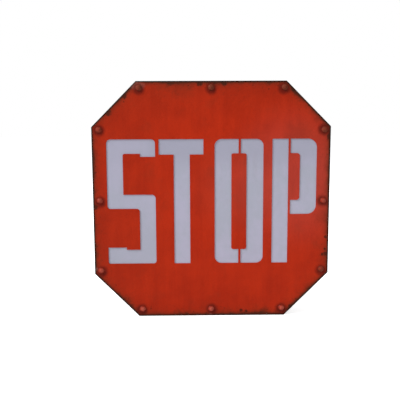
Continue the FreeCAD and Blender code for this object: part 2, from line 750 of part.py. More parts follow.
def board_levels():
    return [f"Layout.lowest_board + {number} * Size.board_pitch" for number in range(int(size.board_count))]


def make_light_boards():
    """Rigid boards stuck across the inside of the back cover, each with its row of chips."""
    bodies = []
    for number, level in enumerate(board_levels(), start=1):
        board = new_body(f"led_board_{number}")
        place(board, depth="Layout.cover_front", up=level)
        sketch = new_sketch(board, "XZ_Plane", "board_outline")
        rectangle(sketch, "Size.board_length", "Size.board_width")
        pad(board, sketch, "Size.board_sheet", "board_sheet")
        chips = new_body(f"led_chips_{number}")
        place(chips, depth="Layout.board_front", up=level)
        chip_sketch = new_sketch(chips, "XZ_Plane", "chip_outline")
        chip_sketch.setExpression("AttachmentOffset.Base.x", "-Layout.chip_reach")
        rectangle(chip_sketch, "Size.chip_width", "Size.chip_width")
        chip = pad(chips, chip_sketch, "Size.chip_height", "chip")
        count = int(size.chip_count)
        grid(chips, [chip], "chip_row", x_step=f"2 * Layout.chip_reach / {count - 1}", x_count=count)
        bodies += [board, chips]
    return bodies


def make_power_inlet():
    """Barrel socket through the slanted side: flange outside, centre pin in its bore, terminals inside."""
    body = new_body("power_inlet")
    place(body, "Layout.inlet_x", "-Size.inlet_setback", "Layout.inlet_z", turn=CORNER_TURN)
    profile = new_sketch(body, "XY_Plane", "inlet_profile")
    pin_tip = "Layout.inlet_bore_end + Size.inlet_pin_length"
    outline(profile, [
        ("Size.inlet_flange_height", "Size.inlet_bore_radius"),
        ("Size.inlet_flange_height", "Size.inlet_flange_radius", "Size.inlet_flange_round"),
        ("0", "Size.inlet_flange_radius"),
        ("0", "Size.inlet_barrel_radius"),
        ("-Size.inlet_barrel_length", "Size.inlet_barrel_radius"),
        ("-Size.inlet_barrel_length", "0"),
        (pin_tip, "0"),
        (pin_tip, "Size.inlet_pin_radius"),
        ("Layout.inlet_bore_end", "Size.inlet_pin_radius"),
        ("Layout.inlet_bore_end", "Size.inlet_bore_radius"),
    ])
    revolve(body, profile, "H_Axis", "inlet_barrel")
    terminals = new_sketch(body, "YZ_Plane", "terminal_sketch")
    terminals.setExpression("AttachmentOffset.Base.z", "-Size.inlet_barrel_length")
    for side in ("", "-"):
        near = f"{side}(Size.terminal_spacing - Size.terminal_sheet) / 2"
        far = f"{side}(Size.terminal_spacing + Size.terminal_sheet) / 2"
        outline(terminals, [
            (near, "Size.terminal_width / 2"),
            (far, "Size.terminal_width / 2"),
            (far, "-Size.terminal_width / 2"),
            (near, "-Size.terminal_width / 2"),
        ])
    pad(body, terminals, "Size.terminal_length", "terminals", backwards=True)
    nut = new_body("inlet_nut")
    place(nut, "Layout.inlet_x", "-Size.inlet_setback", "Layout.inlet_z", turn=CORNER_TURN)
    hexagon = nut.newObject("PartDesign::AdditivePrism", "nut_hexagon")
    hexagon.AttachmentSupport = [(origin_part(nut, "YZ_Plane"), "")]
    hexagon.MapMode = "FlatFace"
    hexagon.setExpression("AttachmentOffset.Base.z", "-Size.casing_sheet - Size.nut_height")
    hexagon.Polygon = 6
    hexagon.setExpression("Circumradius", "Size.nut_corner_radius")
    hexagon.setExpression("Height", "Size.nut_height")
    doc.recompute()
    thread = new_sketch(nut, "YZ_Plane", "nut_thread_sketch")
    circle(thread, "0", "0", "Size.inlet_barrel_radius + Size.inlet_thread_gap")
    pocket(nut, thread, "Size.casing_sheet + Size.nut_height", "nut_thread")
    return [body, nut]


def make_lead(name, points):
    """A round lead along straight runs joined by arcs, each as large as its two runs allow."""
    edges = []
    start = points[0]
    for before, corner, after in zip(points, points[1:], points[2:]):
        arrive = (corner - before).normalize()
        leave = (after - corner).normalize()
        turn = arrive.getAngle(leave)
        reach = BEND_SHARE * min(before.distanceToPoint(corner), corner.distanceToPoint(after))
        radius = reach / math.tan(turn / 2)
        bend_start = corner - arrive * reach
        bend_end = corner + leave * reach
        middle = corner + (leave - arrive).normalize() * (radius / math.cos(turn / 2) - radius)
        edges.append(Part.LineSegment(start, bend_start).toShape())
        edges.append(Part.Arc(bend_start, middle, bend_end).toShape())
        start = bend_end
        print(f"{name}: bend radius {radius:.1f}")
    edges.append(Part.LineSegment(start, points[-1]).toShape())
    path = Part.Wire(edges)
    ring = Part.Wire([Part.makeCircle(size.lead_radius, points[0], points[1] - points[0])])
    feature = doc.addObject("Part::Feature", name)
    feature.Shape = path.makePipeShell([ring], True, True)
    feature.Placement = FreeCAD.Placement()
    section = math.pi * size.lead_radius ** 2
    if abs(feature.Shape.Volume / (section * path.Length) - 1) > VOLUME_ERROR:
        raise RuntimeError(f"{name}: its volume doesn't match its length")
    return feature


def make_leads():
    """The supply lead goes from the inlet to the lowest board, and jumpers go on from board to board."""
    depth = layout.lead_depth
    pad_x = size.board_length / 2 - size.lead_pad_inset
    bow_x = size.board_length / 2 + size.jumper_bow
    levels = [layout.lowest_board + number * size.board_pitch for number in range(int(size.board_count))]
    inward = Vector(-1, 0, 1).normalize()
    inlet = Vector(layout.inlet_x, -size.inlet_setback, layout.inlet_z)
    terminal = inlet + inward * (size.inlet_barrel_length + size.terminal_length)
    leads = [make_lead("supply_lead", [
        terminal,
        terminal + inward * size.supply_run,
        Vector(pad_x, depth, levels[0] - size.supply_drop),
        Vector(pad_x, depth, levels[0]),
    ])]
    for number, (lower, upper) in enumerate(zip(levels, levels[1:]), start=1):
        side = -1 if number % 2 else 1
        leads.append(make_lead(f"jumper_lead_{number}", [
            Vector(side * pad_x, depth, lower),
            Vector(side * bow_x, depth, lower),
            Vector(side * bow_x, depth, upper),
            Vector(side * pad_x, depth, upper),
        ]))
    return leads


def check(parts):
    """Stop at any object that failed, any loose sketch, and any piece without a sound shape."""
    doc.recompute()
    for thing in doc.Objects:
        if "Invalid" in thing.State or "Error" in thing.State:
            raise RuntimeError(f"{thing.Label} failed: {thing.State}")
        if thing.TypeId == "Sketcher::SketchObject" and not thing.FullyConstrained:
            raise RuntimeError(f"{thing.Label} isn't fully constrained")
    for part in parts:
        if part.Shape.isNull() or not part.Shape.isValid() or not part.Shape.Solids:
            raise RuntimeError(f"{part.Label} has no sound shape")


def main():
    fill(size, SIZES)
    fill(layout, LAYOUT)
    doc.recompute()
    parts = make_face_plate() + make_face_rivets() + make_diffuser() + make_casing()
    parts += make_diffuser_clips() + make_cover_tabs() + make_back_cover() + make_cover_screws()
    parts += make_light_boards() + make_power_inlet() + make_leads()
    check(parts)
    os.makedirs("parts", exist_ok=True)
    for part in parts:
        part.Shape.exportStep(f"parts/{part.Label}.step")
        box = part.Shape.BoundBox
        print(f"{part.Label}: {len(part.Shape.Solids)} solids, volume {part.Shape.Volume:.1f}, "
              f"x {box.XMin:.2f} to {box.XMax:.2f}, y {box.YMin:.2f} to {box.YMax:.2f}, "
              f"z {box.ZMin:.2f} to {box.ZMax:.2f}")


main()
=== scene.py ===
"""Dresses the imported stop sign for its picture: finishes, set rivets, floor, lights and camera.

Lengths are in metres in the part's own frame: X runs to the reader's right, Z up, and the face looks to -Y.
"""
import math
import random
from functools import reduce

import bpy
from mathutils import Matrix, Vector, noise


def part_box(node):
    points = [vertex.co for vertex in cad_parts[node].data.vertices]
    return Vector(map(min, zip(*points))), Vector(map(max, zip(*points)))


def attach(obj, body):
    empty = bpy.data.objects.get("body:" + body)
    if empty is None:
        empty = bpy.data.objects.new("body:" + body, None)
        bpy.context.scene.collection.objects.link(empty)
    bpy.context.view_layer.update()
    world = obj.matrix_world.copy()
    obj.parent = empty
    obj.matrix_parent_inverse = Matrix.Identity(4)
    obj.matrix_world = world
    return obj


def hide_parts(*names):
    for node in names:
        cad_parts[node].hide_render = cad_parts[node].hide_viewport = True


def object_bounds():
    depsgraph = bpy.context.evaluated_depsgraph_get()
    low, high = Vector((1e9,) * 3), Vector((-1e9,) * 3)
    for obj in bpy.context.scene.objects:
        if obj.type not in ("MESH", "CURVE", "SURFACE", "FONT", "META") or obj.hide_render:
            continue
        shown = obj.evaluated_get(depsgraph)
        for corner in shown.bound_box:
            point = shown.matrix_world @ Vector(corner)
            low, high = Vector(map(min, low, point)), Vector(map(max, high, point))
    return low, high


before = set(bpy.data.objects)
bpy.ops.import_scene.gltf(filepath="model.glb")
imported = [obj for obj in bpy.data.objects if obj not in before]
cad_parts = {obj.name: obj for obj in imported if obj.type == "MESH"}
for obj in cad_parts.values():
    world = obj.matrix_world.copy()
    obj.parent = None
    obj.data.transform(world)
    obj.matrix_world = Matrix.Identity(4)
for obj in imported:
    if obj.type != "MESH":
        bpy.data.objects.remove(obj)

CAD_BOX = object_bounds()
PLATE_LOW, PLATE_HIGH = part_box("face_plate")
HALF = PLATE_HIGH.x
FRONT = PLATE_LOW.y
CORNER_CUT = 0.075
CORNER_TURN = math.radians(45)
# The sum of |x| and |z| along a slanted side
SLANT_SUM = 2 * HALF - CORNER_CUT

# The rivets stand at one inset from both sides that meet at a corner
RIVETS_LOW, RIVETS_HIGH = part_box("face_rivets")
HEAD_RADIUS = 0.0055
HEAD_HEIGHT = FRONT - RIVETS_LOW.y
RIVET_LINE = RIVETS_HIGH.x - HEAD_RADIUS
RIVET_CORNER = HALF - CORNER_CUT - (HALF - RIVET_LINE) * math.tan(CORNER_TURN / 2)
SHANK_RADIUS = 0.002
TAIL_RADIUS = 0.0034
TAIL_HEIGHT = 0.0014
TAIL_BACK = RIVETS_HIGH.y
TAIL_FRONT = TAIL_BACK - TAIL_HEIGHT

# Vertices nearer than this are one
WELD_REACH = 1e-6

# Where each tab is welded to the casing: its distance along the side, and its depth
WELD_SPREAD = 0.08
WELD_DEPTH = -0.0115
# A weld's mark is full up to the first of these distances and ends at the second
WELD_MARK = (0.00168, 0.0028)

# The camera, fitted to the outline's corners and the letters in the photograph
IMAGE_WIDTH = 400
FOCAL_PIXELS = 568.25
SENSOR_WIDTH = 36
CAMERA_PLACE = Vector((-0.03257, -1.00449, 0.11846))
CAMERA_PITCH = math.radians(-6.965)
CAMERA_YAW = math.radians(-0.784)
CAMERA_ROLL = math.radians(0.255)

# Lamps, each by its place, the side of its square and its power in watts
KEY_LAMP = (Vector((-5.4, -2.7, 5.2)), 2.6, 615.0)
BACK_LAMP = (Vector((1.5, 1.7, 1.2)), 1.4, 22.0)
SKY_STRENGTH = 0.48
FLOOR_TONE = 0.8
FLOOR_LIFT = 0.66
FLOOR_HALF = 30.0
WHITE = (1, 1, 1, 1)


def tint(red, green, blue):
    """A linear colour from one written in 0 to 255."""
    return [((level / 255 + 0.055) / 1.055) ** 2.4 if level > 10 else level / 255 / 12.92
            for level in (red, green, blue)] + [1.0]


class Nodes:
    """A node tree under construction. A call that works out a value gives back the socket that holds it."""

    def __init__(self, tree):
        self.tree = tree

    def add(self, kind, **settings):
        node = self.tree.nodes.new(f"ShaderNode{kind}")
        for setting, value in settings.items():
            setattr(node, setting, value)
        return node

    def put(self, value, socket):
        """Link an output to a socket, or give the socket a plain value."""
        if isinstance(value, bpy.types.NodeSocket):
            self.tree.links.new(value, socket)
        else:
            socket.default_value = value

    def calc(self, operation, *values):
        node = self.add("Math", operation=operation)
        for value, socket in zip(values, node.inputs):
            self.put(value, socket)
        return node.outputs[0]

    def least(self, *values):
        return reduce(lambda found, value: self.calc("MINIMUM", found, value), values)

    def greatest(self, *values):
        return reduce(lambda found, value: self.calc("MAXIMUM", found, value), values)

    def between(self, share, low, high):
        return self.calc("MULTIPLY_ADD", share, high - low, low)

    def seen_plainly(self):
        """1 for what the camera sees itself, in a reflection or through glass, and 0 for light on things."""
        path = self.add("LightPath").outputs
        return self.greatest(path["Is Camera Ray"], path["Is Glossy Ray"], path["Is Transmission Ray"])


class Finish(Nodes):
    """A material under construction, from the place of each point in the part's frame."""

    # How far each pattern is moved from the one before it
    PATTERN_SHIFT = (3.7, 1.9, 5.3)

    def __init__(self, name, specular=0.5, metallic=0.0):
        self.material = bpy.data.materials.new(name)
        self.material.use_nodes = True
        super().__init__(self.material.node_tree)
        self.shader = self.tree.nodes["Principled BSDF"].inputs
        self.put(specular, self.shader["Specular IOR Level"])
        self.put(metallic, self.shader["Metallic"])
        self.patterns = 0
        self.place = self.add("TexCoord").outputs["Object"]
        split = self.add("SeparateXYZ")
        self.put(self.place, split.inputs[0])
        self.x, self.y, self.z = split.outputs
        self.across = self.calc("ABSOLUTE", self.x)
        self.up = self.calc("ABSOLUTE", self.z)

    def total(self, *shares, start=0.0):
        """The sum of values, each times its share, on top of a start."""
        found = start
        for value, share in shares:
            found = self.calc("MULTIPLY_ADD", value, share, found)
        return found

    def texture(self, kind, scale, stretch):
        """A texture on the place, scaled, and moved so that each pattern is its own."""
        self.patterns += 1
        field = self.add("VectorMath", operation="MULTIPLY_ADD")
        self.put(self.place, field.inputs[0])
        self.put([scale * share for share in stretch], field.inputs[1])
        self.put([shift * self.patterns for shift in self.PATTERN_SHIFT], field.inputs[2])
        node = self.add(kind)
        self.put(field.outputs[0], node.inputs["Vector"])
        self.put(1.0, node.inputs["Scale"])
        return node

    def noise(self, scale, detail=3.0, roughness=0.5, stretch=(1, 1, 1)):
        node = self.texture("TexNoise", scale, stretch)
        self.put(detail, node.inputs["Detail"])
        self.put(roughness, node.inputs["Roughness"])
        return node.outputs[0]

    def swing(self, scale, **settings):
        """Noise about 0 instead of about a half."""
        return self.calc("SUBTRACT", self.noise(scale, **settings), 0.5)

    def cells(self, scale):
        """A net of cells, each with a tone of its own."""
        split = self.add("SeparateColor")
        self.put(self.texture("TexVoronoi", scale, (1, 1, 1)).outputs["Color"], split.inputs[0])
        return split.outputs[0]

    def ease(self, value, start, end):
        """0 at start, 1 at end, and a smooth change between them."""
        node = self.add("MapRange", interpolation_type="SMOOTHSTEP")
        for given, socket in zip((value, start, end), node.inputs):
            self.put(given, socket)
        return node.outputs[0]

    def fade(self, distance, reach, start=0.0):
        """A value that falls by the factor e over each reach. The start is its exponent at distance 0."""
        return self.calc("EXPONENT", self.calc("MULTIPLY_ADD", distance, -1 / reach, start))

    def mix(self, share, first, second):
        """Two colours mixed. The Mix node has sockets for other kinds of value too, so these go by number."""
        node = self.add("Mix", data_type="RGBA")
        self.put(share, node.inputs[0])
        self.put(first, node.inputs[6])
        self.put(second, node.inputs[7])
        return node.outputs[2]

    def coat(self, base, cover, share, color):
        """A base with another colour over it, which hides the given share of it where the cover is 1."""
        return self.mix(self.calc("MULTIPLY", cover, share), base, color)

    def distance(self, *offsets):
        """The length of the vector that has these parts."""
        return self.calc("SQRT", self.total(*[(offset, offset) for offset in offsets]))

    def rim_distance(self):
        """How far a point lies inside the outline, seen from the front."""
        slant = self.calc("SUBTRACT", SLANT_SUM, self.calc("ADD", self.across, self.up))
        return self.least(self.calc("SUBTRACT", HALF, self.across), self.calc("SUBTRACT", HALF, self.up),
                          self.calc("MULTIPLY", slant, math.sqrt(0.5)))

    def ring_distance(self, shift):
        """How far a point lies from the nearest place that is shifted inboard of a rivet and below it."""
        line = RIVET_LINE - shift
        level = self.calc("ABSOLUTE", self.calc("ADD", self.z, shift))
        places = [(RIVET_CORNER, line), (0, line), (line, RIVET_CORNER), (line, 0)]
        return self.least(*[self.distance(self.calc("SUBTRACT", self.across, across),
                                          self.calc("SUBTRACT", level, up)) for across, up in places])

    def spots(self, places, outer, inner, *frays):
        """0 outside some places and 1 well inside them. Both limits are shares of a place's own radius.

        The frays are patterns, each with its share, that make the spots ragged.
        """
        nearest = self.least(*[self.calc("DIVIDE", self.distance(self.calc("SUBTRACT", self.x, across),
                                                                 self.calc("SUBTRACT", self.z, up)), radius)
                               for across, up, radius in places])
        return self.ease(self.total(*frays, start=nearest), outer, inner)

    def bumps(self, *layers):
        """Heights, each with its depth in metres, laid over each other as one normal."""
        normal = None
        for height, depth in layers:
            node = self.add("Bump")
            self.put(depth, node.inputs["Distance"])
            self.put(height, node.inputs["Height"])
            if normal:
                self.put(normal, node.inputs["Normal"])
            normal = node.outputs[0]
        self.put(normal, self.shader["Normal"])

    def finish(self, color, roughness, metallic=None):
        self.put(color, self.shader["Base Color"])
        self.put(roughness, self.shader["Roughness"])
        if metallic is not None:
            self.put(metallic, self.shader["Metallic"])
        return self.material


# Chipped and rusted places in the paint: across, up and radius
CHIPS = [
    (0.195, -0.063, 0.003), (0.19, -0.093, 0.0026), (0.196, -0.093, 0.0032), (0.194, -0.084, 0.002),
    (0.051, -0.191, 0.003), (0.06, -0.193, 0.0025), (-0.144, 0.175, 0.0042), (-0.171, 0.148, 0.005),
    (0.137, 0.187, 0.005), (-0.019, 0.196, 0.005), (0.021, 0.196, 0.0045), (-0.197, -0.009, 0.0045),
    (0.197, 0.107, 0.004), (0.136, -0.184, 0.003),
]

# Places that are a little darker all over: across, up and radius
SMUDGED = [(0.189, -0.027, 0.017), (0.192, -0.106, 0.013), (0.15, 0.105, 0.035), (-0.045, 0.187, 0.022)]

# Places by the rim where the band of soil is narrow: across, up and radius
CLEANER = [
    (0.2, 0.05, 0.055), (-0.2, -0.045, 0.04), (-0.08, -0.2, 0.04), (0.2, -0.075, 0.02), (-0.112, 0.2, 0.03),
]

# Places where pale dust clings: across, up and radius
DUSTY = [(-0.125, 0.194, 0.008), (-0.117, 0.192, 0.007), (-0.1972, -0.1165, 0.004), (-0.002, -0.198, 0.003)]

# Faint pale hazes on the red: across, up and radius, then the share and the colour
HAZES = [((0.145, 0.04, 0.145), 0.115, tint(200, 120, 114)), ((0.042, 0.025, 0.1), 0.05, tint(150, 116, 100))]

# Where painted shade makes the red darker, and where the band of soil and painted shade along the rim is wide
# or narrow, each from none to full
RED_SHADE_LEFT = (0.0, -HALF)
RED_SHADE_TOP = (0.12, HALF)
SOIL_AND_SHADE_LEFT = (-0.12, -0.19)
SOIL_AND_SHADE_BOTTOM = (-0.17, -0.19)
SOIL_AND_SHADE_RIGHT = (-0.03, 0.04)

# How far three kinds of darkening reach inwards from the rim
SOIL_REACH = 0.0042
MOTTLE_REACH = 0.014
DARK_REACH = 0.03

# The distances at which the ring of dirt and painted shade round a rivet and the bare line along the rim
# begin and are full
RING_DIRT_AND_SHADE = (0.0132, 0.0052)
LINE = (0.0024, 0.0008)
# How far a pattern frays them, and how far a ring is shifted inboard and down, so that its painted shadow
# lies below the head
FRAY = 0.004
RING_SHADOW_SHIFT = 0.0008

# Specks of rust grow rarer from the rim up to this distance
SPECK_REACH = 0.03

PAINT_SPECULAR = 0.08
SMUDGE = tint(96, 36, 18)

# Where painted shade makes the panel darker, each from none to full. Along its top this grows from a low
# share to a high one
PANEL_SHADE_LEFT = (0.04, -HALF)
PANEL_SHADE_TOP = (0.045, 0.085)
PANEL_SHADE_TOP_RIGHT = (-0.12, -0.09)
PANEL_SHADE_TOP_SHARES = (0.2, 0.8)

# The distances at which the casing's rubbed edges and the back cover's rust begin and are full
CASING_WEAR = (0.0045, 0.0)
COVER_RUST = (0.011, 0.001)


def fresh_red(paint, rim, streak, hair, cloud, blotch):
    """Red in upright streaks and blotches, darker near the rim, darker to the left and at the top with
    painted shade, and with hazes.
    """
    tone = paint.total((streak, 0.34), (hair, 0.08), (cloud, 0.58))
    red = paint.mix(paint.ease(tone, 0.36, 0.64), tint(164, 36, 9), tint(179, 42, 12))
    red = paint.coat(red, paint.ease(blotch, 0.55, 0.8), 0.35, tint(136, 42, 20))
    # Painted shade: the red is darkened to the left and at the top
    left, top = paint.ease(paint.x, *RED_SHADE_LEFT), paint.ease(paint.z, *RED_SHADE_TOP)
    dimmed = paint.total((paint.fade(rim, DARK_REACH), 0.12), (left, 0.13), (top, 0.13))
    red = paint.mix(dimmed, red, tint(104, 32, 14))
    for place, share, pale in HAZES:
        red = paint.coat(red, paint.spots([place], 1.0, 0.2), share, pale)
    return red


def rim_soil_and_shade(paint, rim, lumps, ragged):
    """How thickly soil and painted shade lie. Their band is widest along the right of the bottom and
    narrowest at the left, which paints shade on the side away from the light.
    """
    # Painted shade: the band widens at the right of the bottom and narrows at the left
    bottom = paint.calc("MULTIPLY", paint.ease(paint.z, *SOIL_AND_SHADE_BOTTOM), paint.ease(paint.x, *SOIL_AND_SHADE_RIGHT))
    left = paint.ease(paint.x, *SOIL_AND_SHADE_LEFT)
    cleaner = paint.spots(CLEANER, 1.0, 0.4)
    narrowing = paint.total((lumps, 2.2), (ragged, 1.8), (bottom, -0.35), (left, 0.3), (cleaner, 0.35),
                            start=1.0)
    depth = paint.calc("MULTIPLY", rim, paint.greatest(narrowing, 0.3))
    return paint.least(paint.fade(depth, SOIL_REACH, start=0.6), 1.0)


def face_paint():
    """Red paint with upright streaks and painted shade, darkened and rusted along the rim and round the
    rivets, where rings of dirt and painted shadow lie.
    """
    paint = Finish("face_paint", specular=PAINT_SPECULAR)
    rim = paint.rim_distance()
    streak = paint.noise(1, detail=3, stretch=(60, 60, 4))
    hair = paint.noise(1, detail=2, stretch=(500, 500, 14))
    cloud = paint.noise(20, detail=6, roughness=0.6)
    blotch = paint.noise(26, detail=5, roughness=0.6)
    ragged = paint.swing(95, detail=8, roughness=0.66)
    lumps = paint.swing(22, detail=4, roughness=0.6)
    fine = paint.swing(300, detail=5, roughness=0.6)
    mottle = paint.ease(paint.noise(150, detail=6, roughness=0.7), 0.5, 0.7)
    red = fresh_red(paint, rim, streak, hair, cloud, blotch)

    # Soil and painted shade along the rim, smudges and dust
    soil_and_shade = rim_soil_and_shade(paint, rim, lumps, ragged)
    red = paint.coat(red, soil_and_shade, 0.92, paint.mix(soil_and_shade, tint(98, 42, 22), tint(56, 30, 17)))
    red = paint.coat(red, paint.calc("MULTIPLY", mottle, paint.fade(rim, MOTTLE_REACH)), 0.5, SMUDGE)
    red = paint.coat(red, paint.spots(SMUDGED, 1.2, 0.3, (ragged, 1.2)), 0.22, SMUDGE)
    red = paint.coat(red, paint.spots(DUSTY, 1.2, 0.4, (ragged, 1.6)), 0.4, tint(152, 104, 92))

    # The rings round the rivets, which are dirt and a painted shadow, chips and specks of rust, and the line
    # along the rim
    near = paint.total((ragged, FRAY), start=paint.ring_distance(RING_SHADOW_SHIFT))
    red = paint.coat(red, paint.ease(near, *RING_DIRT_AND_SHADE), 0.77, tint(82, 15, 7))
    chip = paint.spots(CHIPS, 1.3, 0.6, (fine, 1.6), (ragged, 1.2))
    speck_limit = paint.total((paint.least(rim, SPECK_REACH), 4.2), start=0.1)
    speck = paint.ease(paint.calc("SUBTRACT", fine, speck_limit), 0.0, 0.05)
    bare = paint.greatest(chip, speck)
    red = paint.coat(red, bare, 0.78, tint(56, 26, 14))
    line = paint.ease(paint.total((fine, FRAY), start=rim), *LINE)
    red = paint.coat(red, line, 0.9, tint(24, 13, 8))

    worn = paint.greatest(soil_and_shade, line, bare)
    flakes = paint.calc("MULTIPLY", worn, fine)
    paint.bumps((lumps, 0.002), (paint.noise(1100, detail=2), 0.00004), (hair, 0.00003),
                (flakes, 0.0006), (bare, -0.0002))
    return paint.finish(red, paint.total((worn, 0.3), (cloud, 0.16), (hair, 0.08), start=0.34))


def rivet_paint():
    """Red paint on the heads, with a painted highlight near the middle of each and painted shade round its
    foot. Each vertex carries how brown its rivet is, which also dims the highlight, and how near it is to the
    middle of the painted highlight on the crown.
    """
    paint = Finish("rivet_paint", specular=PAINT_SPECULAR)
    wear_and_dimming = paint.add("Attribute", attribute_name="wear_and_dimming").outputs["Fac"]
    crown = paint.add("Attribute", attribute_name="crown").outputs["Fac"]
    patch = paint.noise(420, detail=6, roughness=0.62)
    # The patches are about a half, which the start takes off again
    crown = paint.total((crown, 1.0), (patch, 0.25), start=-0.125)
    color = paint.mix(patch, tint(128, 34, 18), tint(150, 43, 25))
    # Painted highlight: a pale spot on each head, fainter on the browner rivets
    painted_highlight = paint.calc("MULTIPLY", paint.ease(crown, 0.2, 0.55), paint.between(wear_and_dimming, 0.85, -0.1))
    color = paint.mix(paint.greatest(painted_highlight, 0.0), color, tint(178, 83, 67))
    brown = paint.ease(paint.calc("ADD", patch, paint.between(wear_and_dimming, -0.3, 0.3)), 0.4, 0.7)
    color = paint.coat(color, brown, 0.9, tint(104, 48, 31))
    # Painted shade round the foot of each head, deepest on the side away from the highlight
    color = paint.mix(paint.ease(crown, -0.15, 0.2), tint(80, 19, 9), color)
    paint.bumps((patch, 0.00025), (paint.noise(1500, detail=3), 0.00005))
    return paint.finish(color, paint.total((brown, 0.25), (patch, 0.12), start=0.32))


def opal_panel():
    """Glossy opal sheet, faintly uneven, darker to the left and at the top with painted shade, and with a
    thin film of dust.
    """
    sheet = Finish("opal_panel")
    drift = sheet.total((sheet.noise(9, detail=2), 0.6), (sheet.noise(70, detail=3, roughness=0.6), 0.4))
    dust = sheet.noise(1, detail=5, roughness=0.6, stretch=(60, 60, 12))
    color = sheet.mix(sheet.ease(drift, 0.36, 0.64), tint(159, 161, 177), tint(168, 165, 186))
    # Painted shade along the top, growing to the right, and to the left
    top_share = sheet.between(sheet.ease(sheet.x, *PANEL_SHADE_TOP_RIGHT), *PANEL_SHADE_TOP_SHARES)
    top = sheet.calc("MULTIPLY", sheet.ease(sheet.z, *PANEL_SHADE_TOP), top_share)
    shade = sheet.total((sheet.ease(sheet.x, *PANEL_SHADE_LEFT), 0.35), start=top)
    color = sheet.mix(shade, color, tint(153, 153, 171))
    color = sheet.coat(color, sheet.ease(dust, 0.5, 0.85), 0.3, tint(148, 142, 152))
    sheet.bumps((sheet.noise(7, detail=1), 0.0012), (sheet.noise(900, detail=2), 0.00001))
    return sheet.finish(color, sheet.between(dust, 0.1, 0.3))


def casing_paint():
    """Dark paint on folded sheet, rubbed to rust along its bends and rims, with the marks of spot welds."""
    paint = Finish("casing_paint", specular=0.2)
    streak = paint.noise(1, detail=5, roughness=0.6, stretch=(40, 40, 12))
    ragged = paint.swing(120, detail=8, roughness=0.66)
    depth = paint.least(paint.calc("SUBTRACT", paint.y, FRONT), paint.calc("SUBTRACT", 0.0, paint.y))
    worn = paint.ease(paint.total((ragged, 0.02), start=depth), *CASING_WEAR)
    color = paint.mix(paint.ease(streak, 0.35, 0.7), tint(48, 30, 25), tint(70, 41, 32))
    color = paint.coat(color, paint.ease(ragged, 0.06, 0.2), 0.5, tint(96, 52, 33))
    color = paint.coat(color, worn, 0.5, tint(92, 50, 31))
    inward = paint.calc("SUBTRACT", paint.y, WELD_DEPTH)
    weld = paint.least(*[
        paint.distance(paint.calc("SUBTRACT", along, WELD_SPREAD), inward, paint.calc("SUBTRACT", HALF, out))
        for along, out in ((paint.across, paint.up), (paint.up, paint.across))])
    plain = paint.ease(weld, *WELD_MARK)
    color = paint.coat(color, paint.calc("SUBTRACT", 1.0, plain), 0.5, tint(36, 24, 20))
    paint.bumps((paint.noise(12, detail=2), 0.0016), (ragged, 0.00022),
                (paint.noise(1300, detail=2), 0.00004), (plain, 0.0003))
    return paint.finish(color, paint.total((streak, 0.2), (worn, 0.2), start=0.38))


def zinc_sheet():
    """Dull zinc-coated sheet with its spangle, faint scratches and a little rust near the rim."""
    sheet = Finish("zinc_sheet")
    spangle = sheet.cells(165)
    cloud = sheet.noise(20, detail=5, roughness=0.6)
    scratch = sheet.ease(sheet.noise(1, detail=2, stretch=(30, 30, 1500)), 0.62, 0.72)
    color = sheet.mix(sheet.total((spangle, 0.45), (cloud, 0.55)), tint(122, 125, 127), tint(158, 161, 162))
    color = sheet.coat(color, scratch, 0.2, tint(176, 178, 178))
    ragged = sheet.swing(130, detail=8, roughness=0.7)
    patches = sheet.swing(24, detail=3)
    rust = sheet.ease(sheet.total((ragged, 0.05), (patches, 0.04), start=sheet.rim_distance()), *COVER_RUST)
    color = sheet.coat(color, rust, 0.7, tint(104, 66, 44))
    sheet.bumps((sheet.noise(8, detail=1), 0.0012), (spangle, 0.00002), (ragged, 0.00005))
    rough = sheet.total((spangle, 0.12), (cloud, 0.16), (rust, 0.25), start=0.34)
    return sheet.finish(color, rough, sheet.between(rust, 0.9, 0.1))


def bare_metal(name, dark, light, grain):
    """Plated or bare metal of small parts, with fine marks from its making."""
    metal = Finish(name, metallic=1.0)
    marks = metal.noise(1, detail=4, stretch=grain)
    cloud = metal.noise(90, detail=5, roughness=0.6)
    color = metal.mix(metal.total((marks, 0.6), (cloud, 0.4)), dark, light)
    metal.bumps((marks, 0.00003), (cloud, 0.00003))
    return metal.finish(color, metal.total((marks, 0.2), (cloud, 0.2), start=0.18))


def moulded(name, dark, light, gloss):
    """A plain moulded surface with a fine texture and a faint change of tone."""
    plastic = Finish(name)
    cloud = plastic.noise(60, detail=4)
    grain = plastic.noise(1600, detail=2)
    color = plastic.mix(plastic.total((cloud, 0.7), (grain, 0.3)), dark, light)
    plastic.bumps((grain, 0.00003))
    return plastic.finish(color, plastic.total((cloud, 0.12), (grain, 0.08), start=gloss))


def pale_floor():
    """Matt floor that shows white and keeps the sign's shadow."""
    ground = Finish("floor_pale", specular=0.0)
    ground.put(WHITE, ground.shader["Emission Color"])
    ground.put(ground.between(ground.seen_plainly(), 0, FLOOR_LIFT), ground.shader["Emission Strength"])
    return ground.finish((FLOOR_TONE, FLOOR_TONE, FLOOR_TONE, 1), 1.0)


def give(material, *names):
    """Give some CAD nodes one material alone, and join their faces where vertices coincide."""
    for name in names:
        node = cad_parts[name]
        node.data.materials.clear()
        node.data.materials.append(material)
        # This also drops the triangles of no area that a fold's mitre leaves
        node.modifiers.new("joined_faces", "WELD").merge_threshold = WELD_REACH


def nodes_named(start):
    return sorted(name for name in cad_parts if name.startswith(start))


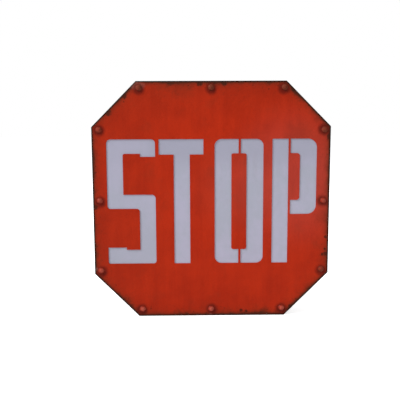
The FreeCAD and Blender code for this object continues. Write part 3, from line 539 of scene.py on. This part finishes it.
def dress_nodes():
    give(face_paint(), "face_plate")
    give(opal_panel(), "diffuser")
    give(casing_paint(), "casing", *nodes_named("cover_tab_"))
    give(zinc_sheet(), "back_cover")
    give(bare_metal("spring_steel", tint(120, 120, 122), tint(170, 170, 172), (60, 900, 60)),
         *nodes_named("diffuser_clip_"))
    give(bare_metal("screw_zinc", tint(134, 134, 130), tint(176, 176, 171), (300, 300, 300)), "cover_screws")
    give(bare_metal("nut_brass", tint(150, 118, 60), tint(205, 170, 100), (500, 500, 500)), "inlet_nut")
    give(moulded("board_white", tint(212, 214, 210), tint(228, 229, 226), 0.4), *nodes_named("led_board_"))
    give(moulded("chip_gel", tint(214, 190, 84), tint(232, 208, 104), 0.2), *nodes_named("led_chips_"))
    give(moulded("lead_sleeve", tint(24, 24, 25), tint(38, 38, 40), 0.45),
         "supply_lead", *nodes_named("jumper_lead_"))
    give(moulded("inlet_black", tint(22, 22, 23), tint(34, 34, 35), 0.35), "power_inlet")


def add_object(name, data):
    piece = bpy.data.objects.new(name, data)
    bpy.context.scene.collection.objects.link(piece)
    return piece


# Each rivet's place across and up, how far its paint is worn to brown, which also dims its painted highlight,
# and how many millimetres its head was struck off its shank, across and up
RIVETS = [
    (-RIVET_CORNER, RIVET_LINE, 0.75, 0, 0.5), (0, RIVET_LINE, 0.8, -0.5, 0.8),
    (RIVET_CORNER, RIVET_LINE, 0.85, 1.3, 0.7),
    (-RIVET_LINE, RIVET_CORNER, 0.6, 0.5, 0), (-RIVET_LINE, 0, 0.4, -0.2, 1.5),
    (-RIVET_LINE, -RIVET_CORNER, 0.25, -0.8, 1.3),
    (RIVET_LINE, RIVET_CORNER, 0.75, 0.8, -1.2), (RIVET_LINE, 0, 0.4, 0.5, -0.3),
    (RIVET_LINE, -RIVET_CORNER, 0.68, -0.5, 1.4),
    (-RIVET_CORNER, -RIVET_LINE, 0, 0.7, 1.2), (0, -RIVET_LINE, 0, -1.4, 0.6),
    (RIVET_CORNER, -RIVET_LINE, 0.05, 0, 1.5),
]
MILLIMETRES_IN_METRE = 1000
RIVET_SEED = 4
RIVET_SEGMENTS = 48
DOME_RINGS = 14
FULL_TURN = 2 * math.pi
# An edge that turns further than this stays sharp
SHARP_TURN = math.radians(50)
# How far a dome may lean, and how much of its height it may keep
LEAN = 0.05
HEIGHT_KEPT = (0.93, 0.99)
LUMP_HEIGHT = 0.00012
LUMP_SCALE = 420.0
# The painted highlight on a crown: how much it is narrowed across and up, and where it lies, in head radii
HIGHLIGHT_SHAPE = Vector((0.86, 1.06))
HIGHLIGHT_PLACE = Vector((0.22, 0.05))


def rivet_section():
    """Radius and depth of each ring, from the crown along the dome, then along the shank and the tail."""
    ball = (HEAD_RADIUS ** 2 + HEAD_HEIGHT ** 2) / (2 * HEAD_HEIGHT)
    sweep = math.asin(HEAD_RADIUS / ball)
    dome = []
    for ring in range(1, DOME_RINGS + 1):
        angle = sweep * ring / DOME_RINGS
        dome.append((ball * math.sin(angle), FRONT - HEAD_HEIGHT + ball * (1 - math.cos(angle))))
    return dome + [(SHANK_RADIUS, FRONT), (SHANK_RADIUS, TAIL_FRONT), (TAIL_RADIUS, TAIL_FRONT),
                   (TAIL_RADIUS, TAIL_BACK)]


def crown_nearness(side, rise):
    """1 at the middle of the painted highlight on a head, falling with the distance from there."""
    return 1 - math.hypot((side / HEAD_RADIUS - HIGHLIGHT_PLACE.x) * HIGHLIGHT_SHAPE.x,
                          (rise / HEAD_RADIUS - HIGHLIGHT_PLACE.y) * HIGHLIGHT_SHAPE.y)


def add_rivet(vertices, faces, crowns, across, up, slip, draw):
    """One set rivet: a dome that was struck by hand, so it is a little uneven, with its shank and tail."""
    section = rivet_section()
    first = len(vertices)
    lean = Vector((draw.uniform(-1, 1), draw.uniform(-1, 1))) * LEAN
    kept = draw.uniform(*HEIGHT_KEPT)
    vertices.append((across + slip.x, FRONT - HEAD_HEIGHT * kept, up + slip.y))
    crowns.append(crown_nearness(0, 0))
    for number, (radius, depth) in enumerate(section):
        # The dome's last ring lies on the plate, so it slips but isn't uneven
        uneven = number < DOME_RINGS - 1
        shift = slip if number < DOME_RINGS else Vector((0, 0))
        for segment in range(RIVET_SEGMENTS):
            angle = FULL_TURN * segment / RIVET_SEGMENTS
            side, rise = radius * math.cos(angle), radius * math.sin(angle)
            level = depth
            if uneven:
                height = (FRONT - depth) * kept
                lump = noise.noise(Vector((across + side, depth, up + rise)) * LUMP_SCALE)
                height = min(height + lump * LUMP_HEIGHT * height / HEAD_HEIGHT, HEAD_HEIGHT)
                level = FRONT - max(height * (1 + (lean.x * side + lean.y * rise) / HEAD_RADIUS), 0)
                level = max(level, FRONT - HEAD_HEIGHT)
            vertices.append((across + shift.x + side, level, up + shift.y + rise))
            crowns.append(crown_nearness(side, rise))
    for segment in range(RIVET_SEGMENTS):
        following = (segment + 1) % RIVET_SEGMENTS
        faces.append((first, first + 1 + segment, first + 1 + following))
        for ring in range(len(section) - 1):
            inner = first + 1 + ring * RIVET_SEGMENTS
            outer = inner + RIVET_SEGMENTS
            faces.append((inner + segment, outer + segment, outer + following, inner + following))
    last_ring = range(len(vertices) - RIVET_SEGMENTS, len(vertices))
    faces.append(list(reversed(last_ring)))


def make_rivets():
    """Set rivets in the places of the plain ones."""
    draw = random.Random(RIVET_SEED)
    vertices, faces, crowns, wear_and_dimming_values = [], [], [], []
    for across, up, wear_and_dimming, *slip in RIVETS:
        before = len(vertices)
        add_rivet(vertices, faces, crowns, across, up, Vector(slip) / MILLIMETRES_IN_METRE, draw)
        wear_and_dimming_values += [wear_and_dimming] * (len(vertices) - before)
    mesh = bpy.data.meshes.new("set_rivets")
    mesh.from_pydata(vertices, [], faces)
    for name, values in (("wear_and_dimming", wear_and_dimming_values), ("crown", crowns)):
        mesh.attributes.new(name, "FLOAT", "POINT").data.foreach_set("value", values)
    mesh.polygons.foreach_set("use_smooth", [True] * len(mesh.polygons))
    mesh.set_sharp_from_angle(angle=SHARP_TURN)
    mesh.materials.append(rivet_paint())
    piece = add_object("set_rivets", mesh)
    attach(piece, "root")
    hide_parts("face_rivets")


def make_floor():
    """A wide floor under the sign's lowest edge."""
    mesh = bpy.data.meshes.new("floor")
    corners = [(x * FLOOR_HALF, y * FLOOR_HALF, CAD_BOX[0].z)
               for x, y in ((-1, -1), (1, -1), (1, 1), (-1, 1))]
    mesh.from_pydata(corners, [], [(0, 1, 2, 3)])
    mesh.materials.append(pale_floor())
    floor = add_object("floor", mesh)


def make_sky():
    """Even light from all round, which the camera sees as plain white."""
    world = bpy.data.worlds.new("studio")
    bpy.context.scene.world = world
    world.use_nodes = True
    sky = Nodes(world.node_tree)
    background = sky.tree.nodes["Background"].inputs
    sky.put(WHITE, background["Color"])
    sky.put(sky.between(sky.seen_plainly(), SKY_STRENGTH, 1), background["Strength"])


def add_lamp(name, place, side, power):
    data = bpy.data.lights.new(name, "AREA")
    data.size = side
    data.energy = power
    lamp = add_object(name, data)
    lamp.location = place
    lamp.rotation_euler = (-place).to_track_quat("-Z", "Y").to_euler()


def make_camera():
    data = bpy.data.cameras.new("camera")
    data.sensor_width = SENSOR_WIDTH
    data.lens = SENSOR_WIDTH * FOCAL_PIXELS / IMAGE_WIDTH
    camera = add_object("camera", data)
    # A camera without any turn looks straight down, and the last of these turns it level
    turn = (Matrix.Rotation(CAMERA_YAW, 4, "Z") @ Matrix.Rotation(CAMERA_PITCH, 4, "X")
            @ Matrix.Rotation(CAMERA_ROLL, 4, "Y") @ Matrix.Rotation(math.radians(90), 4, "X"))
    camera.matrix_world = Matrix.Translation(CAMERA_PLACE) @ turn
    bpy.context.scene.camera = camera


dress_nodes()
make_rivets()
make_floor()
make_sky()
add_lamp("key", *KEY_LAMP)
add_lamp("back", *BACK_LAMP)
make_camera()
bpy.context.scene.view_settings.view_transform = "Standard"
